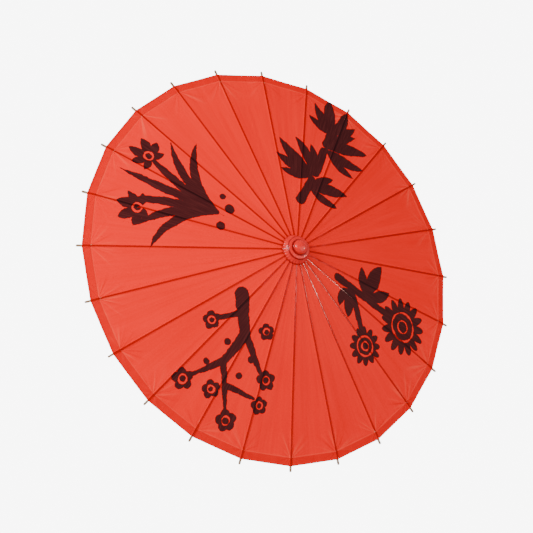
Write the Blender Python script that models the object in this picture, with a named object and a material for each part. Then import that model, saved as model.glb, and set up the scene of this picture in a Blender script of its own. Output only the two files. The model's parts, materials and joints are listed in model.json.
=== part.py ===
"""An oil paper umbrella: a bamboo shaft with a fixed crown hub and a sliding runner, 24 bamboo ribs
and 24 stretchers hinged between them, a paper canopy with a doubled hem, a crown cap and a knob.

World frame: metres, +Z up the shaft, the origin at the middle of the end cap's flat underside. The
umbrella stands open. Rib 1 lies along +X and the others follow every 15 degrees, seen from above.
"""

import math

import bmesh
import bpy
from mathutils import Matrix, Vector

# Driving sizes
RIB_COUNT = 24
CANOPY_RADIUS = 0.410  # shaft axis to a corner of the canopy's rim
CANOPY_RISE = 0.088  # rim to the point where the ribs' lines would meet
FOLD_ANGLE = math.radians(75)  # a rib's swing from open to closed
PIVOT_RADIUS = 0.016  # circle of the ribs' pivots on the crown hub, and of the stretchers' on the runner
STRETCHER_LENGTH = 0.190  # pivot to pivot, and also from a rib's crown pivot to its stretcher pivot
CROWN_PIVOT_Z = 0.505
SHAFT_RADIUS = 0.0085
GAP = 0.0003  # between neighbouring pieces

# Sizes that follow from them
SECTOR = 2 * math.pi / RIB_COUNT
SLOPE = math.atan2(CANOPY_RISE, CANOPY_RADIUS)  # of an open rib, below the horizontal
RUNNER_PIVOT_Z = CROWN_PIVOT_Z - 2 * STRETCHER_LENGTH * math.sin(SLOPE)
RUNNER_TRAVEL = 2 * STRETCHER_LENGTH * (math.sin(SLOPE + FOLD_ANGLE) - math.sin(SLOPE))

# Ribs. Heights are measured square to the rib, from the line through its two pivots.
RIB_TOP = 0.0025
RIB_BOTTOM = -0.0010
RIB_WIDTH = 0.0045
RIB_ROOT_WIDTH = 0.0036  # near the crown, where closed ribs stand side by side
TONGUE_WIDTH = 0.0020
TONGUE_RADIUS = 0.0016  # round end about the crown pivot
RIB_OVERHANG = 0.010  # bare tip past the canopy's corner
RIB_LENGTH = (CANOPY_RADIUS + RIB_OVERHANG - PIVOT_RADIUS) / math.cos(SLOPE)
TIP_WIDTH = 0.0040
TIP_TAPER = 0.002  # length of the narrowed end of the tip
TIP_TRIM = 0.0002  # taken off the tip's top and bottom at its very end
RIB_TONGUE_LENGTH = 0.009
RIB_ROOT_END = 0.013  # where the tongue has widened to the root width
RIB_FULL_WIDTH_FROM = 0.100
RIB_FULL_WIDTH_TO = 0.330
RIB_SLOT_WIDTH = 0.0024
RIB_SLOT_INWARD = 0.007
RIB_SLOT_OUTWARD = 0.0265
RIB_PIN_RADIUS = 0.0006
PIN_SEAT = 0.0005  # how far the pin reaches into each side of the slot

# Stretchers
STRETCHER_WIDTH = 0.0028
STRETCHER_HEIGHT = 0.0030
STRETCHER_TONGUE_WIDTH = 0.0018
STRETCHER_END_RADIUS = 0.0017
RIB_END_TONGUE = 0.030  # as far as the closed stretcher lies in its rib's slot
RUNNER_END_TONGUE = 0.034  # the closing stretcher leans through the runner's slot this far from its end
RIB_END_SHOULDER = 0.004  # lengths over which a stretcher narrows to its tongues
RUNNER_END_SHOULDER = 0.003

# Threads that the ribs and the stretchers turn on
THREAD_RADIUS = 0.0004
THREAD_HOLE_RADIUS = THREAD_RADIUS + GAP

# Slotted rings
FIN_RADIUS = 0.019
SLOT_ROOT_RADIUS = 0.014
RING_SLOT_WIDTH = TONGUE_WIDTH + 0.0004
GROOVE_RADIUS = 0.0152
GROOVE_FLOOR = 0.0006  # half heights of the groove's floor and mouth
GROOVE_MOUTH = 0.0012
BORE_RADIUS = SHAFT_RADIUS + GAP
HUB_HALF_HEIGHT = 0.006
HUB_COLLAR_RADIUS = 0.0115
HUB_COLLAR_LENGTH = 0.007
RUNNER_BORE_RADIUS = SHAFT_RADIUS + 0.0004
RUNNER_FIN_TOP = 0.005
RUNNER_FIN_BOTTOM = 0.006
RUNNER_NECK_RADIUS = 0.0115
RUNNER_BEAD_RADIUS = 0.0126
RUNNER_BEAD_HEIGHT = 0.004
RUNNER_LENGTH_BELOW = 0.0303

# Canopy
PAPER_CLEARANCE = RIB_TOP + GAP
CANOPY_THICKNESS = 0.0007
HEM_WIDTH = 0.016
HEM_THICKNESS = 0.0012
CANOPY_HOLE_RADIUS = 0.021

# Crown. Heights are above the ribs' pivots on the hub.
CAP_RADIUS = 0.030
CAP_EDGE = 0.0010  # thickness of the collar's edge
CAP_COLLAR = [(0.0285, 0.0035), (0.0240, 0.0105)]  # (radius, height) where the collar's slope changes
CAP_STEP_RADIUS = 0.0215
CAP_STEP_FOOT = 0.0128
CAP_STEP_TOP = 0.0150
CAP_TOP_RADIUS = 0.0175
CAP_TOP = 0.0168
CAP_HOLLOW_RADIUS = 0.0120
KNOB_RADIUS = 0.0152
KNOB_STEM_RADIUS = 0.005
KNOB_SEAT = CAP_TOP + GAP
KNOB_HEIGHT = 0.0125
KNOB_SHOULDER = 0.0022  # height of the dome's widest circle above the seat
KNOB_UNDERCUT = 0.0010
SHAFT_TOP_Z = CROWN_PIVOT_Z + 0.0083

# Foot of the shaft
END_CAP_HEIGHT = 0.010
END_CAP_FLOOR = 0.004
END_CAP_RADIUS = 0.0130
END_CAP_CHAMFER = 0.0015
GRIP_BOTTOM_Z = END_CAP_HEIGHT + GAP
GRIP_TOP_Z = RUNNER_PIVOT_Z - RUNNER_TRAVEL - RUNNER_LENGTH_BELOW - 0.001
GRIP_FOOT_RADIUS = 0.0130
GRIP_WAIST_RADIUS = 0.0126  # at the middle and at the upper collar
GRIP_NECK_FOOT = 0.0118
GRIP_NECK_TOP = 0.0116
GRIP_COLLAR = 0.0080  # height of the collar at each end
GRIP_COLLAR_END = 0.0110
GRIP_CHAMFER = 0.0015

# Catch and stop
CATCH_TOP_Z = RUNNER_PIVOT_Z - RUNNER_LENGTH_BELOW - 0.0004
CATCH_LENGTH = 0.0405
CATCH_REACH = 0.0116
CATCH_WIDTH = 0.0022
CATCH_HEAD = 0.0018
CATCH_FOOT_X = (0.0030, 0.0046)
CATCH_KNEE_X = (0.0064, 0.0084)
CATCH_KNEE = 0.0180  # heights above the catch's foot
CATCH_SHOULDER = 0.0380
CATCH_FOOT_TOP = 0.0040
CATCH_PIVOT_X = sum(CATCH_FOOT_X) / 2
CATCH_PIVOT_Z = CATCH_TOP_Z - CATCH_LENGTH + CATCH_FOOT_TOP / 2
CATCH_SLOT_FLOOR = 0.0020
CATCH_SLOT_BELOW = 0.001
CATCH_SLOT_ABOVE = 0.002
PEG_RADIUS = 0.0013
PEG_HALF_LENGTH = 0.0125
PEG_Z = RUNNER_PIVOT_Z + RUNNER_FIN_TOP + GAP + PEG_RADIUS

ROUND_STEPS = 32
SMALL_ROUND_STEPS = 8
PEG_STEPS = 12
DOME_STEPS = 6
PAST = 0.001  # how far a cutting tool sticks out of what it cuts
SMOOTH_LIMIT = math.radians(35)


def clear_scene():
    for thing in list(bpy.data.objects):
        bpy.data.objects.remove(thing, do_unlink=True)


def material(name, colour, roughness, metallic=0.0):
    made = bpy.data.materials.get(name) or bpy.data.materials.new(name)
    made.use_nodes = True
    shader = made.node_tree.nodes["Principled BSDF"]
    shader.inputs["Base Color"].default_value = (*colour, 1.0)
    shader.inputs["Roughness"].default_value = roughness
    shader.inputs["Metallic"].default_value = metallic
    return made


def bamboo():
    return material("bamboo", (0.46, 0.27, 0.12), 0.5)


def pale_bamboo():
    return material("pale_bamboo", (0.62, 0.44, 0.22), 0.55)


def oiled_paper():
    return material("oiled_paper", (0.72, 0.05, 0.03), 0.35)


def hem_paper():
    return material("hem_paper", (0.60, 0.03, 0.02), 0.35)


def red_lacquer():
    return material("red_lacquer", (0.50, 0.02, 0.015), 0.25)


def dark_wood():
    return material("dark_wood", (0.20, 0.09, 0.04), 0.4)


def cotton_thread():
    return material("cotton_thread", (0.10, 0.03, 0.02), 0.8)


def finish_mesh(name, bm):
    """The mesh of a finished bmesh, with its faces pointing out and round parts shaded smooth."""
    bmesh.ops.remove_doubles(bm, verts=bm.verts, dist=1e-7)
    bmesh.ops.recalc_face_normals(bm, faces=bm.faces)
    mesh = bpy.data.meshes.new(name)
    bm.to_mesh(mesh)
    bm.free()
    mesh.shade_smooth()
    mesh.set_sharp_from_angle(angle=SMOOTH_LIMIT)
    return mesh


def place(name, mesh, look, matrix=None, parent=None):
    """A named object with its own material slot, at a matrix in its parent's frame."""
    made = bpy.data.objects.new(name, mesh)
    bpy.context.scene.collection.objects.link(made)
    if not mesh.materials:
        mesh.materials.append(look)
    made.parent = parent
    made.matrix_local = matrix or Matrix()
    return made


def loft(sections):
    """A closed solid through loops of equal length, with a flat cap at each end."""
    bm = bmesh.new()
    loops = [[bm.verts.new(point) for point in section] for section in sections]
    for before, after in zip(loops, loops[1:]):
        for n, corner in enumerate(before):
            m = (n + 1) % len(before)
            bm.faces.new((corner, before[m], after[m], after[n]))
    bm.faces.new(reversed(loops[0]))
    bm.faces.new(loops[-1])
    return bm


def lathe(profile, steps=ROUND_STEPS):
    """A closed outline of (radius, height) points turned about Z."""
    bm = bmesh.new()
    corners = [bm.verts.new((radius, 0, height)) for radius, height in profile]
    edges = [bm.edges.new((a, b)) for a, b in zip(corners, corners[1:] + corners[:1])]
    bmesh.ops.spin(
        bm,
        geom=corners + edges,
        cent=(0, 0, 0),
        axis=(0, 0, 1),
        angle=2 * math.pi,
        steps=steps,
        use_merge=True,
    )
    bmesh.ops.remove_doubles(bm, verts=bm.verts, dist=1e-7)
    bmesh.ops.dissolve_degenerate(bm, edges=bm.edges, dist=1e-8)
    return bm


def solid_lathe(profile, steps=ROUND_STEPS):
    """A solid turned about Z. Its outline starts and ends on the axis, where it gets flat caps."""
    loops = []
    for radius, height in profile:
        turn = range(steps)
        loops.append([polar(radius, 2 * math.pi * n / steps, height) for n in turn])
    return loft(loops)


def polar(radius, angle, height):
    return Vector((radius * math.cos(angle), radius * math.sin(angle), height))


def box(low, high):
    bm = bmesh.new()
    size = Vector(high) - Vector(low)
    middle = (Vector(high) + Vector(low)) / 2
    bmesh.ops.create_cube(bm, size=1, matrix=Matrix.Translation(middle) @ Matrix.Diagonal((*size, 1)))
    return bm


def cross_rod(radius, half_length, centre, steps=SMALL_ROUND_STEPS):
    """A rod along Y."""
    bm = bmesh.new()
    turned = Matrix.Translation(centre) @ Matrix.Rotation(math.pi / 2, 4, "X")
    bmesh.ops.create_cone(
        bm,
        cap_ends=True,
        segments=steps,
        radius1=radius,
        radius2=radius,
        depth=2 * half_length,
        matrix=turned,
    )
    return bm


def combine(bm, operation, tool):
    """Applies a Boolean of two bmeshes and returns the result as a new bmesh."""
    pair = []
    for name, shape in (("blank", bm), ("tool", tool)):
        bmesh.ops.recalc_face_normals(shape, faces=shape.faces)
        mesh = bpy.data.meshes.new(name)
        shape.to_mesh(mesh)
        shape.free()
        made = bpy.data.objects.new(name, mesh)
        bpy.context.scene.collection.objects.link(made)
        pair.append(made)
    blank, cutter = pair
    change = blank.modifiers.new(operation, "BOOLEAN")
    change.operation = operation
    change.object = cutter
    bpy.context.view_layer.update()
    evaluated = blank.evaluated_get(bpy.context.evaluated_depsgraph_get())
    result = bmesh.new()
    result.from_mesh(evaluated.to_mesh())
    evaluated.to_mesh_clear()
    for made in pair:
        mesh = made.data
        bpy.data.objects.remove(made)
        bpy.data.meshes.remove(mesh)
    return result


def bar_section(along, width, low, high):
    """Four corners of a bar that runs along X."""
    half = width / 2
    return [
        Vector((along, -half, low)),
        Vector((along, half, low)),
        Vector((along, half, high)),
        Vector((along, -half, high)),
    ]


def round_end(radius, width, side):
    """Bar sections of a round end about Y, for a bar's start (side -1) or its far end (side 1)."""
    angles = [math.radians(a) for a in (22, 55, 90)]
    ends = [(-radius * math.cos(a), radius * math.sin(a)) for a in angles]
    sections = [bar_section(x, width, -half, half) for x, half in ends]
    if side > 0:
        sections = [[Vector((-p.x, p.y, p.z)) for p in section] for section in reversed(sections)]
    return sections


def rib_mesh():
    """A rib along X from its crown pivot. A pin crosses its slot and carries the stretcher."""
    sections = round_end(TONGUE_RADIUS, TONGUE_WIDTH, -1) + [
        bar_section(RIB_TONGUE_LENGTH, TONGUE_WIDTH, -TONGUE_RADIUS, TONGUE_RADIUS),
        bar_section(RIB_ROOT_END, RIB_ROOT_WIDTH, RIB_BOTTOM, RIB_TOP),
        bar_section(RIB_FULL_WIDTH_FROM, RIB_WIDTH, RIB_BOTTOM, RIB_TOP),
        bar_section(RIB_FULL_WIDTH_TO, RIB_WIDTH, RIB_BOTTOM, RIB_TOP),
        bar_section(RIB_LENGTH - TIP_TAPER, TIP_WIDTH, 0.0, RIB_TOP),
        bar_section(RIB_LENGTH, TIP_WIDTH * 0.6, TIP_TRIM, RIB_TOP - TIP_TRIM),
    ]
    pivot = Vector((STRETCHER_LENGTH, 0, 0))
    half_slot = RIB_SLOT_WIDTH / 2
    slot = box(
        (pivot.x - RIB_SLOT_INWARD, -half_slot, RIB_BOTTOM - PAST),
        (pivot.x + RIB_SLOT_OUTWARD, half_slot, RIB_TOP + PAST),
    )
    slotted = combine(loft(sections), "DIFFERENCE", slot)
    hole = cross_rod(THREAD_HOLE_RADIUS, TONGUE_WIDTH, Vector())
    drilled = combine(slotted, "DIFFERENCE", hole)
    pin = cross_rod(RIB_PIN_RADIUS, half_slot + PIN_SEAT, pivot)
    return finish_mesh("rib", combine(drilled, "UNION", pin))


def stretcher_mesh():
    """A stretcher along X from its rib pivot to its runner pivot."""
    half = STRETCHER_HEIGHT / 2
    start = round_end(STRETCHER_END_RADIUS, STRETCHER_TONGUE_WIDTH, -1)
    finish = round_end(STRETCHER_END_RADIUS, STRETCHER_TONGUE_WIDTH, 1)
    shift = Vector((STRETCHER_LENGTH, 0, 0))
    tongue = STRETCHER_LENGTH - RUNNER_END_TONGUE
    sections = start + [
        bar_section(RIB_END_TONGUE, STRETCHER_TONGUE_WIDTH, -half, half),
        bar_section(RIB_END_TONGUE + RIB_END_SHOULDER, STRETCHER_WIDTH, -half, half),
        bar_section(tongue - RUNNER_END_SHOULDER, STRETCHER_WIDTH, -half, half),
        bar_section(tongue, STRETCHER_TONGUE_WIDTH, -half, half),
    ]
    sections += [[point + shift for point in section] for section in finish]
    pin_hole = cross_rod(RIB_PIN_RADIUS + GAP, STRETCHER_WIDTH, Vector())
    drilled = combine(loft(sections), "DIFFERENCE", pin_hole)
    thread_hole = cross_rod(THREAD_HOLE_RADIUS, STRETCHER_WIDTH, shift)
    return finish_mesh("stretcher", combine(drilled, "DIFFERENCE", thread_hole))


def make_ribs_and_stretchers():
    """Each rib turns about the crown circle, and its stretcher turns about the rib's pin."""
    rib = rib_mesh()
    stretcher = stretcher_mesh()
    on_rib = Matrix.Translation((STRETCHER_LENGTH, 0, 0)) @ Matrix.Rotation(math.pi - 2 * SLOPE, 4, "Y")
    for n in range(RIB_COUNT):
        around = Matrix.Rotation(n * SECTOR, 4, "Z")
        pivot = Matrix.Translation((PIVOT_RADIUS, 0, CROWN_PIVOT_Z))
        downhill = Matrix.Rotation(SLOPE, 4, "Y")
        holder = place(f"rib_{n + 1:02d}", rib, bamboo(), around @ pivot @ downhill)
        place(f"stretcher_{n + 1:02d}", stretcher, pale_bamboo(), on_rib, parent=holder)


def slotted_ring(name, fins, below, above, bore):
    """A turned ring with a radial slot for every rib.

    fins is the (height, radius) of each level of the slotted stretch, bottom to top. below and above
    are the (height, radius) of the plain turned stretches beyond it, going away from it.
    """
    bm = bmesh.new()
    half = RING_SLOT_WIDTH / 2
    root_angle = math.asin(half / SLOT_ROOT_RADIUS)

    def fin_level(height, radius):
        edge = math.asin(half / radius)
        level = []
        for n in range(RIB_COUNT):
            turn = n * SECTOR
            level.append(polar(SLOT_ROOT_RADIUS, turn - root_angle, height))
            level.append(polar(SLOT_ROOT_RADIUS, turn + root_angle, height))
            level.append(polar(radius, turn + edge, height))
            level.append(polar(radius, turn + SECTOR / 2, height))
            level.append(polar(radius, turn + SECTOR - edge, height))
        return [bm.verts.new(point) for point in level]

    def plain_level(height, radius):
        turns = [n * SECTOR + side * root_angle for n in range(RIB_COUNT) for side in (-1, 1)]
        return [bm.verts.new(polar(radius, turn, height)) for turn in turns]

    def bridge(before, after):
        for n, corner in enumerate(before):
            m = (n + 1) % len(before)
            bm.faces.new((corner, before[m], after[m], after[n]))

    def cap_fins(level):
        """Closes the fins' flat ends and returns the loop round their roots."""
        count = len(level)
        for n in range(0, count, 5):
            bm.faces.new([level[(n + step) % count] for step in (1, 2, 3, 4, 5)])
        return [level[n + step] for n in range(0, count, 5) for step in (0, 1)]

    levels = [fin_level(height, radius) for height, radius in fins]
    for before, after in zip(levels, levels[1:]):
        bridge(before, after)
    ends = []
    for level, beyond in ((levels[0], below), (levels[-1], above)):
        loop = cap_fins(level)
        for height, radius in beyond:
            further = plain_level(height, radius)
            bridge(loop, further)
            loop = further
        height = beyond[-1][0] if beyond else fins[0 if level is levels[0] else -1][0]
        mouth = plain_level(height, bore)
        bridge(loop, mouth)
        ends.append(mouth)
    bridge(*ends)
    return finish_mesh(name, bm)


def fin_levels(bottom, top):
    """Levels of the slotted stretch, with the thread's groove at the pivot height."""
    return [
        (bottom, FIN_RADIUS),
        (-GROOVE_MOUTH, FIN_RADIUS),
        (-GROOVE_FLOOR, GROOVE_RADIUS),
        (GROOVE_FLOOR, GROOVE_RADIUS),
        (GROOVE_MOUTH, FIN_RADIUS),
        (top, FIN_RADIUS),
    ]


def make_crown_hub():
    collar = -HUB_HALF_HEIGHT - HUB_COLLAR_LENGTH
    mesh = slotted_ring(
        "crown_hub",
        fin_levels(-HUB_HALF_HEIGHT, HUB_HALF_HEIGHT),
        [(-HUB_HALF_HEIGHT, HUB_COLLAR_RADIUS), (collar, HUB_COLLAR_RADIUS)],
        [],
        BORE_RADIUS,
    )
    place("crown_hub", mesh, dark_wood(), Matrix.Translation((0, 0, CROWN_PIVOT_Z)))


def make_runner():
    bottom = -RUNNER_LENGTH_BELOW
    mesh = slotted_ring(
        "runner",
        fin_levels(-RUNNER_FIN_BOTTOM, RUNNER_FIN_TOP),
        [
            (-RUNNER_FIN_BOTTOM, RUNNER_NECK_RADIUS),
            (bottom + RUNNER_BEAD_HEIGHT, RUNNER_NECK_RADIUS),
            (bottom + RUNNER_BEAD_HEIGHT - 0.001, RUNNER_BEAD_RADIUS),
            (bottom, RUNNER_BEAD_RADIUS),
        ],
        [],
        RUNNER_BORE_RADIUS,
    )
    place("runner", mesh, dark_wood(), Matrix.Translation((0, 0, RUNNER_PIVOT_Z)))


def make_crown_thread():
    """The binding thread that runs round the crown hub's groove and through every rib."""
    steps = SMALL_ROUND_STEPS - 2
    turn = [2 * math.pi * n / steps for n in range(steps)]
    ring = [(PIVOT_RADIUS + THREAD_RADIUS * math.cos(a), THREAD_RADIUS * math.sin(a)) for a in turn]
    mesh = finish_mesh("crown_thread", lathe(ring, 2 * RIB_COUNT))
    place("crown_thread", mesh, cotton_thread(), Matrix.Translation((0, 0, CROWN_PIVOT_Z)))


def make_shaft():
    """The bamboo shaft, with the catch's slot and the stop peg's hole."""
    bottom = END_CAP_FLOOR + GAP
    stick = solid_lathe([(SHAFT_RADIUS, bottom), (SHAFT_RADIUS, SHAFT_TOP_Z)])
    half = CATCH_WIDTH / 2 + GAP
    slot = box(
        (CATCH_SLOT_FLOOR, -half, CATCH_TOP_Z - CATCH_LENGTH - CATCH_SLOT_BELOW),
        (2 * SHAFT_RADIUS, half, CATCH_TOP_Z + CATCH_SLOT_ABOVE),
    )
    slotted = combine(stick, "DIFFERENCE", slot)
    hole = cross_rod(PEG_RADIUS + GAP, 2 * SHAFT_RADIUS, Vector((0, 0, PEG_Z)), PEG_STEPS)
    mesh = finish_mesh("shaft", combine(slotted, "DIFFERENCE", hole))
    place("shaft", mesh, bamboo())


def make_catch_spring():
    """A bent leaf in the shaft's slot. Its flat head holds the runner up until it is pressed in."""
    outline = [
        (CATCH_FOOT_X[0], 0),
        (CATCH_FOOT_X[1], 0),
        (CATCH_KNEE_X[1], CATCH_KNEE),
        (CATCH_REACH, CATCH_SHOULDER),
        (CATCH_REACH, CATCH_LENGTH),
        (CATCH_REACH - CATCH_HEAD, CATCH_LENGTH),
        (CATCH_KNEE_X[0], CATCH_KNEE),
        (CATCH_FOOT_X[0], CATCH_FOOT_TOP),
    ]
    foot = CATCH_TOP_Z - CATCH_LENGTH
    half = CATCH_WIDTH / 2
    sides = []
    for y in (-half, half):
        sides.append([Vector((x - CATCH_PIVOT_X, y, foot + z - CATCH_PIVOT_Z)) for x, z in outline])
    mesh = finish_mesh("catch_spring", loft(sides))
    place("catch_spring", mesh, dark_wood(), Matrix.Translation((CATCH_PIVOT_X, 0, CATCH_PIVOT_Z)))


def make_stop_peg():
    mesh = finish_mesh("stop_peg", cross_rod(PEG_RADIUS, PEG_HALF_LENGTH, Vector(), PEG_STEPS))
    place("stop_peg", mesh, pale_bamboo(), Matrix.Translation((0, 0, PEG_Z)))


def paper_height(radius, above_rib_line):
    """World height of the open canopy at a rib, that far above the ribs' pivot line."""
    drop = (radius - PIVOT_RADIUS) * math.tan(SLOPE)
    return CROWN_PIVOT_Z - drop + above_rib_line / math.cos(SLOPE)


def paper_band(name, inner, outer, thickness):
    """A band of the many-sided canopy between two radii, flat from rib to rib."""
    low = PAPER_CLEARANCE
    high = low + thickness
    outline = [
        (inner, paper_height(inner, low)),
        (outer, paper_height(outer, low)),
        (outer, paper_height(outer, high)),
        (inner, paper_height(inner, high)),
    ]
    mesh = finish_mesh(name, lathe(outline, RIB_COUNT))
    mesh.shade_flat()
    return mesh


def make_canopy():
    rim = CANOPY_RADIUS - HEM_WIDTH
    place("canopy", paper_band("canopy", CANOPY_HOLE_RADIUS, rim, CANOPY_THICKNESS), oiled_paper())


def make_rim_hem():
    rim = CANOPY_RADIUS - HEM_WIDTH + GAP
    place("rim_hem", paper_band("rim_hem", rim, CANOPY_RADIUS, HEM_THICKNESS), hem_paper())


def crown_base_height(radius):
    """Underside of what lies on the canopy, at a radius."""
    return paper_height(radius, PAPER_CLEARANCE + CANOPY_THICKNESS + GAP) - CROWN_PIVOT_Z


def make_crown_cap():
    """The collar that covers the canopy's hole and the hub, with a step up to the knob."""
    hub_top = HUB_HALF_HEIGHT + GAP
    shaft_top = SHAFT_TOP_Z - CROWN_PIVOT_Z + GAP
    collar_edge = crown_base_height(CAP_RADIUS)
    hole_edge = crown_base_height(CANOPY_HOLE_RADIUS)
    outline = [
        (CAP_RADIUS, collar_edge),
        (CAP_RADIUS, collar_edge + CAP_EDGE),
        *CAP_COLLAR,
        (CAP_STEP_RADIUS + 2 * GAP, CAP_STEP_FOOT),
        (CAP_STEP_RADIUS, CAP_STEP_TOP),
        (CAP_TOP_RADIUS, CAP_TOP - GAP),
        (KNOB_STEM_RADIUS + GAP, CAP_TOP),
        (KNOB_STEM_RADIUS + GAP, shaft_top),
        (CAP_HOLLOW_RADIUS, shaft_top),
        (FIN_RADIUS + GAP, hub_top),
        (FIN_RADIUS + GAP, hole_edge),
        (CANOPY_HOLE_RADIUS, hole_edge),
    ]
    mesh = finish_mesh("crown_cap", lathe(outline))
    place("crown_cap", mesh, red_lacquer(), Matrix.Translation((0, 0, CROWN_PIVOT_Z)))


def make_finial_knob():
    """The low round knob, with a short stem through the cap."""
    stem = [(KNOB_STEM_RADIUS, SHAFT_TOP_Z - CROWN_PIVOT_Z + GAP), (KNOB_STEM_RADIUS, KNOB_SEAT)]
    foot = [(KNOB_RADIUS - KNOB_UNDERCUT, KNOB_SEAT)]
    dome = []
    for step in range(DOME_STEPS):
        angle = step * math.pi / 2 / DOME_STEPS
        height = KNOB_SHOULDER + (KNOB_HEIGHT - KNOB_SHOULDER) * math.sin(angle)
        dome.append((KNOB_RADIUS * math.cos(angle), KNOB_SEAT + height))
    mesh = finish_mesh("finial_knob", solid_lathe(stem + foot + dome))
    place("finial_knob", mesh, red_lacquer(), Matrix.Translation((0, 0, CROWN_PIVOT_Z)))


def make_handle_grip():
    """A turned wooden grip round the foot of the shaft."""
    length = GRIP_TOP_Z - GRIP_BOTTOM_Z
    outline = [
        (BORE_RADIUS, 0),
        (GRIP_FOOT_RADIUS - GRIP_CHAMFER, 0),
        (GRIP_FOOT_RADIUS, GRIP_CHAMFER),
        (GRIP_FOOT_RADIUS, GRIP_COLLAR),
        (GRIP_NECK_FOOT, GRIP_COLLAR_END),
        (GRIP_WAIST_RADIUS, length / 2),
        (GRIP_NECK_TOP, length - GRIP_COLLAR_END),
        (GRIP_WAIST_RADIUS, length - GRIP_COLLAR),
        (GRIP_WAIST_RADIUS, length - GRIP_CHAMFER),
        (GRIP_NECK_TOP, length),
        (BORE_RADIUS, length),
    ]
    mesh = finish_mesh("handle_grip", lathe(outline))
    place("handle_grip", mesh, dark_wood(), Matrix.Translation((0, 0, GRIP_BOTTOM_Z)))


def make_end_cap():
    """A shallow cup on the shaft's foot. Its flat underside is what the umbrella stands on."""
    mesh = finish_mesh(
        "end_cap",
        solid_lathe(
            [
                (BORE_RADIUS, END_CAP_FLOOR),
                (BORE_RADIUS, END_CAP_HEIGHT),
                (END_CAP_RADIUS, END_CAP_HEIGHT),
                (END_CAP_RADIUS, END_CAP_CHAMFER),
                (END_CAP_RADIUS - END_CAP_CHAMFER, 0),
            ]
        ),
    )
    place("end_cap", mesh, pale_bamboo())


def main():
    clear_scene()
    make_shaft()
    make_crown_hub()
    make_crown_thread()
    make_runner()
    make_catch_spring()
    make_stop_peg()
    make_ribs_and_stretchers()
    make_canopy()
    make_rim_hem()
    make_crown_cap()
    make_finial_knob()
    make_handle_grip()
    make_end_cap()


main()
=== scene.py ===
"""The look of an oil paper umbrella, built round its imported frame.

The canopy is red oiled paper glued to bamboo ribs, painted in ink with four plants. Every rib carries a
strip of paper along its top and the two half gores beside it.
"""

import json
import math
import random

import bmesh
import bpy
from bpy.props import FloatProperty, FloatVectorProperty, IntProperty, PointerProperty
from mathutils import Matrix, Vector

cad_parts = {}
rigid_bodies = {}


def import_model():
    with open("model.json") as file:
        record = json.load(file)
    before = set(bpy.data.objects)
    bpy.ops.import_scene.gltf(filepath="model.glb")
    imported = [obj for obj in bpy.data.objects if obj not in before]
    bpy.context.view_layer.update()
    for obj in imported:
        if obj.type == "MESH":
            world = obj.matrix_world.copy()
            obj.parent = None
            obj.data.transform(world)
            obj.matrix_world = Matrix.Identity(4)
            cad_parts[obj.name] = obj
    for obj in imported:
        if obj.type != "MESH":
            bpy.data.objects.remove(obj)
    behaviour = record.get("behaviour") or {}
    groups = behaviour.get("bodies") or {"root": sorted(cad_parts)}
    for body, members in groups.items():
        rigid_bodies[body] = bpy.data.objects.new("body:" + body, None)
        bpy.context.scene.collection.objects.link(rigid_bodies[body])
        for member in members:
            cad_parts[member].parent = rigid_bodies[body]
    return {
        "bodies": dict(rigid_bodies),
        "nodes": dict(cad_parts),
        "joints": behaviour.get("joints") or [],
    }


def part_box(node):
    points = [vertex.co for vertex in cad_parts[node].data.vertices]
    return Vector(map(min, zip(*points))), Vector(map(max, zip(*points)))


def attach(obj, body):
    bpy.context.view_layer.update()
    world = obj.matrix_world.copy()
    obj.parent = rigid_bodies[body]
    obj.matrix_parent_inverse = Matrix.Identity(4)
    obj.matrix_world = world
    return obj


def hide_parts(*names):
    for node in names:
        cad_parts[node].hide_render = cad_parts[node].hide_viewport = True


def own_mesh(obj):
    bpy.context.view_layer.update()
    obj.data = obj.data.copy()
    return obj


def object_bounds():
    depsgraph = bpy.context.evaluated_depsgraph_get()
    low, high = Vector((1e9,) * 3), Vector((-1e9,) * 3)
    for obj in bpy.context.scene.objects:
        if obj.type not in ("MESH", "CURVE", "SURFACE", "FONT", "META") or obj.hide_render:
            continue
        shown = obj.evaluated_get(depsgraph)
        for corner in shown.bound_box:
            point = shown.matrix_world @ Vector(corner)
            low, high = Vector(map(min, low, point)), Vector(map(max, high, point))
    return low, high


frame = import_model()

bl_info = {
    "name": "Oil paper umbrella",
    "version": (1, 0, 0),
    "blender": (4, 5, 0),
    "location": "3D View > Sidebar > Umbrella",
    "description": "Builds an oil paper umbrella round its frame",
    "category": "Add Mesh",
}

CAD_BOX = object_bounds()
JOINTS = {joint["name"]: joint for joint in frame["joints"]}
RIB_NAMES = sorted(name for name in frame["bodies"] if name.startswith("rib_"))
RIB_COUNT = len(RIB_NAMES)
SECTOR = 2 * math.pi / RIB_COUNT
CROWN_PIVOT = Vector(JOINTS["rib_01_hinge"]["pos_m"])
STRETCHER_PIVOT = Vector(JOINTS["stretcher_01_hinge"]["pos_m"])
SLOPE = math.atan2(CROWN_PIVOT.z - STRETCHER_PIVOT.z, STRETCHER_PIVOT.x - CROWN_PIVOT.x)
STRETCHER_LENGTH = (STRETCHER_PIVOT - CROWN_PIVOT).length
RUNNER_PIVOT_Z = 2 * STRETCHER_PIVOT.z - CROWN_PIVOT.z
RIM_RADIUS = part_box("rim_hem")[1].x
SHAFT_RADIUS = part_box("shaft")[1].x

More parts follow.
